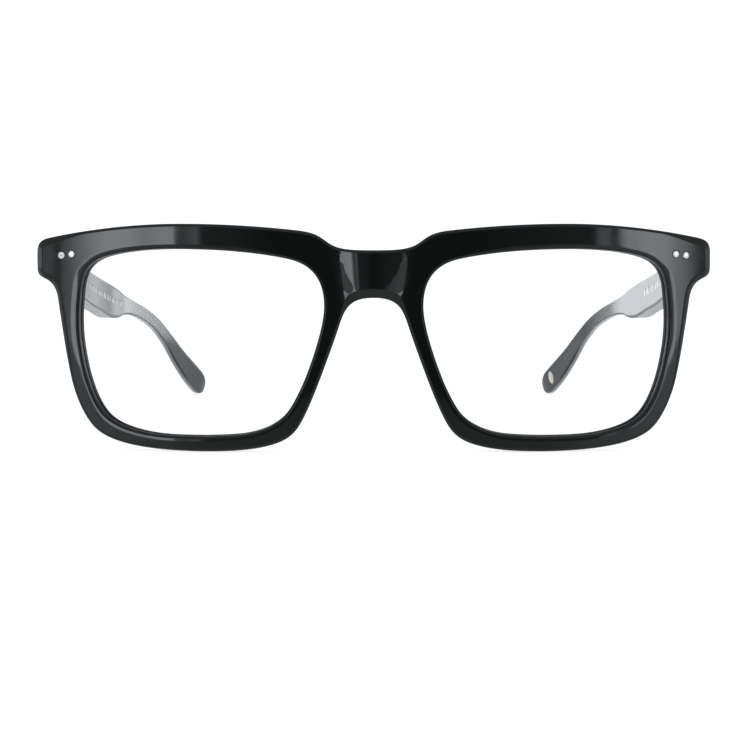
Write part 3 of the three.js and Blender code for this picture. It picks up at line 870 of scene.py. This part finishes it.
def print_material(name, level):
    """Matt printing ink of an even grey."""
    made, tree, shader = material(name, Base_Color=(level, level, level, 1))
    tree.links.new(ranged(tree, noise(tree, 2500), 0.35, 0.55), shader.inputs["Roughness"])
    return made


def floor_material():
    """A white table that glows enough to lose its shadows."""
    made, _, shader = material("table", Base_Color=(0.9, 0.9, 0.9, 1), Roughness=0.8)
    shader.inputs["Emission Color"].default_value = (1, 1, 1, 1)
    shader.inputs["Emission Strength"].default_value = 0.75
    return made


ACETATE = acetate_material("acetate", True)
TEMPLE_ACETATE = acetate_material("temple_acetate", False)
SAWN = sawn_material()
LENS = lens_material()
INLAY = metal_material("inlay_metal", (0.6, 0.56, 0.47), 0.3, 0.42, 2400, False)
RIVET = metal_material("rivet_metal", (0.96, 0.96, 0.95), 0.26, 0.34, 3000)
STEEL = metal_material("hinge_metal", (0.66, 0.66, 0.67), 0.22, 0.36, 1800)
PRINT = {"left": print_material("printing_white", 0.9), "right": print_material("printing_grey", 0.56)}


# ---- Pieces ----
make("front_acetate", front_shell(), ACETATE, "front", ["front_frame"], dull=SAWN)
pad = pad_shell()
front_leaf = front_leaf_shell()
temple_leaf = temple_leaf_shell()
temple = temple_shell()
screw = screw_shell()
for side in ("left", "right"):
    flip = side == "right"
    arm = f"{side}_temple"
    make(f"lens_clear_{side}", lens_shell(OPENING[side]), LENS, "front",
         [f"lens_{side}"], crease=40)
    make(f"pad_{side}", pad, ACETATE, "front", [f"nose_pad_{side}"], mirror=flip)
    make(f"front_leaf_{side}", front_leaf, STEEL, "front",
         [f"hinge_front_leaf_{side}"], crease=35, mirror=flip)
    make(f"screw_{side}", screw, STEEL, "front",
         [f"hinge_screw_{side}"], crease=35, mirror=flip)
    for which, (x, z) in RIVETS.items():
        rivet = rivet_shell(on_front(x, z), flip and which == "outer")
        make(f"rivet_{side}_{which}", rivet, RIVET, "front",
             [f"front_rivet_{side}_{which}"], crease=50, mirror=flip)
    make(f"temple_acetate_{side}", temple, TEMPLE_ACETATE, arm,
         [f"temple_{side}"], mirror=flip)
    make(f"temple_leaf_{side}", temple_leaf, STEEL, arm,
         [f"hinge_temple_leaf_{side}"], crease=35, mirror=flip)
    for which, back in TEMPLE_RIVETS.items():
        stud = rivet_shell(temple_rivet_place(back), False)
        make(f"stud_{side}_{which}", stud, RIVET, arm,
             [f"temple_rivet_{side}_{which}"], crease=50, mirror=flip)
    core = nodes[f"temple_core_{side}"]
    core.data.materials.clear()
    core.data.materials.append(STEEL)

make("inlay", inlay_shell(), INLAY, "left_temple", ["tip_inlay"], crease=60)
BAR_LENGTHS = (1.9, 1.1, 2.6, 1.5, 0.8, 2.2, 1.4, 3.0)
BAR_GAP = 0.9
MARKS = {"left": (42.5, 65.5, -0.3, 1.7), "right": (48, 83, -0.45, 1.05)}  # from, to, low and high edges


def mark_bars(first, last, low, high):
    """A row of bars of mixed lengths: distance back, length, low and high edges."""
    bars = []
    back = first
    while back < last:
        length = BAR_LENGTHS[len(bars) % len(BAR_LENGTHS)]
        bars.append((back, length, low, high))
        back += length + BAR_GAP
    return bars


for side, row in MARKS.items():
    make(f"print_{side}", mark_shell(mark_bars(*row)), PRINT[side], f"{side}_temple", [],
         mirror=side == "right")


# ---- Table, light and camera ----
def plane(name, size, made):
    """A square of twice the size at the level of the table."""
    mesh = bpy.data.meshes.new(name)
    corners = [(-size, -size, 0), (size, -size, 0), (size, size, 0), (-size, size, 0)]
    mesh.from_pydata(corners, [], [(0, 1, 2, 3)])
    mesh.materials.append(made)
    piece = bpy.data.objects.new(name, mesh)
    bpy.context.scene.collection.objects.link(piece)
    return piece


table = plane("table", 6, floor_material())
table.visible_glossy = False


# Brightness of the white cards round the object: degrees from -Y towards +X, then level.
FRONT_CARDS = (
    (-40, 1.2), (-34.9, 0.9), (-34.6, 0.4), (-34.1, 0.4), (-33.7, 1.0), (-32.3, 2.1), (-30.6, 3.6),
    (-28.8, 4.75), (-26.4, 4.6), (-24.8, 3.5), (-22.6, 4.2), (-21.6, 4.2), (-21.2, 0.6), (-20.6, 0.6),
    (-19, 1.25), (-18.5, 0.18), (-3, 0.03), (3, 0.03), (23.7, 0.15), (24.3, 1.2), (25.3, 1.2),
    (25.8, 0.3), (26.2, 0.3), (26.8, 2.8), (27.5, 4.1), (28.3, 3.7), (29.2, 4.5), (31.5, 4.3),
    (32.7, 3.2), (34.6, 1.7), (35.4, 0.4), (40, 1.2),
)
OTHER_CARDS = (
    (-180, 1.1), (-170, 1.5), (-160, 2.3), (-150, 3.4), (-146, 3.1), (-143.5, 1.9), (-139, 1.6),
    (-134, 1.0), (-110, 1.2), (-84, 1.2), (-76, 0.15), (-46, 0.15), (-40, 0.9), (40, 0.9), (46, 0.15),
    (76, 0.15), (84, 0.9), (110, 0.9), (125, 1.8), (134, 3.3), (150, 3.3), (154, 2.4), (158, 1.2),
    (165, 1.4), (172, 0.9), (180, 1.1),
)
# Brightness low over the table, by the angle from -Y on either side.
TABLE_SHEEN = (
    (0, 0.1), (3, 0.15), (6, 0.3), (18, 0.35), (32, 1.0), (36, 0.8), (44, 0.3), (80, 0.3),
    (110, 1.0), (135, 1.3), (180, 1.3),
)
BRIGHTEST = 5.0  # white of the colour ramps that hold these levels
BACKDROP = 1.1
TABLE_NEAR = 0.5
TABLE_BEHIND = 0.9  # at a low angle
TABLE_UNDER = 2.4  # seen from above
CEILING = 0.45
LIGHT_COLOUR = (0.962, 1, 1.037, 1)

# Where one brightness goes over into the next: heights and depths of the unit direction.
CARD_FOOT = (-0.0615, -0.0575)
TABLE_EDGE = (-0.24, -0.16)
SEEN_FROM_ABOVE = (-0.6, -0.3)
BEHIND_OBJECT = (0.02, 0.16)
CEILING_EDGE = (0.12, 0.28)


def math_node(tree, operation, *values):
    """A Math node whose inputs are sockets or constants."""
    made = tree.nodes.new("ShaderNodeMath")
    made.operation = operation
    for k, value in enumerate(values):
        if isinstance(value, bpy.types.NodeSocket):
            tree.links.new(value, made.inputs[k])
        else:
            made.inputs[k].default_value = value
    return made.outputs[0]


def blend_node(tree, share, low, high):
    """Mixes low and high, each a socket or a constant, by a share."""
    made = tree.nodes.new("ShaderNodeMix")
    for k, value in ((0, share), (2, low), (3, high)):
        if isinstance(value, bpy.types.NodeSocket):
            tree.links.new(value, made.inputs[k])
        else:
            made.inputs[k].default_value = value
    return made.outputs[0]


def level_by_angle(tree, angle, stops):
    """Brightness along a list of angle and level pairs."""
    first, last = stops[0][0], stops[-1][0]
    made = tree.nodes.new("ShaderNodeValToRGB")
    points = made.color_ramp.elements
    while len(points) < len(stops):
        points.new(0.5)
    for point, (degrees, level) in zip(points, stops):
        point.position = (degrees - first) / (last - first)
        point.color = (*[level / BRIGHTEST] * 3, 1)
    tree.links.new(ranged(tree, angle, 0, 1, first, last), made.inputs[0])
    return math_node(tree, "MULTIPLY", made.outputs["Color"], BRIGHTEST)


def world_light():
    """White cards all round over a pale table, dark where the photographer stands."""
    world = bpy.data.worlds.new("studio")
    bpy.context.scene.world = world
    world.use_nodes = True
    tree = world.node_tree
    shade = tree.nodes["Background"]
    coords = tree.nodes.new("ShaderNodeTexCoord")
    split = tree.nodes.new("ShaderNodeSeparateXYZ")
    tree.links.new(coords.outputs["Generated"], split.inputs[0])
    x, y, z = split.outputs
    turn = math_node(tree, "ARCTAN2", x, math_node(tree, "MULTIPLY", y, -1))
    angle = math_node(tree, "MULTIPLY", turn, 180 / math.pi)
    size = math_node(tree, "ABSOLUTE", angle)
    in_front = math_node(tree, "LESS_THAN", size, FRONT_CARDS[-1][0])
    cards = blend_node(tree, in_front, level_by_angle(tree, angle, OTHER_CARDS),
                       level_by_angle(tree, angle, FRONT_CARDS))
    sheen = level_by_angle(tree, size, TABLE_SHEEN)
    level = blend_node(tree, ranged(tree, z, 0, 1, *CARD_FOOT), sheen, cards)
    behind = blend_node(tree, ranged(tree, z, 1, 0, *SEEN_FROM_ABOVE), TABLE_BEHIND, TABLE_UNDER)
    below = blend_node(tree, ranged(tree, y, 0, 1, *BEHIND_OBJECT), TABLE_NEAR, behind)
    level = blend_node(tree, ranged(tree, z, 1, 0, *TABLE_EDGE), level, below)
    level = blend_node(tree, ranged(tree, z, 0, 1, *CEILING_EDGE), level, CEILING)
    seen = tree.nodes.new("ShaderNodeLightPath").outputs["Is Camera Ray"]
    tree.links.new(blend_node(tree, seen, level, BACKDROP), shade.inputs["Strength"])
    shade.inputs["Color"].default_value = LIGHT_COLOUR


world_light()

CAMERA_BACK = 0.45
CAMERA_UP = 0.05098
CAMERA_PITCH = math.radians(4.4)
camera_data = bpy.data.cameras.new("camera")
camera_data.sensor_width = 36
camera_data.lens = 103
camera_data.shift_x = 0.0017
camera_data.shift_y = 0.001
camera_data.clip_start = 0.01
camera = bpy.data.objects.new("camera", camera_data)
camera.location = (0, FRONT_LOW.y - CAMERA_BACK, CAMERA_UP)
camera.rotation_euler = (math.pi / 2 - CAMERA_PITCH, 0, 0)
bpy.context.scene.collection.objects.link(camera)
bpy.context.scene.camera = camera
bpy.context.scene.view_settings.view_transform = "Standard"
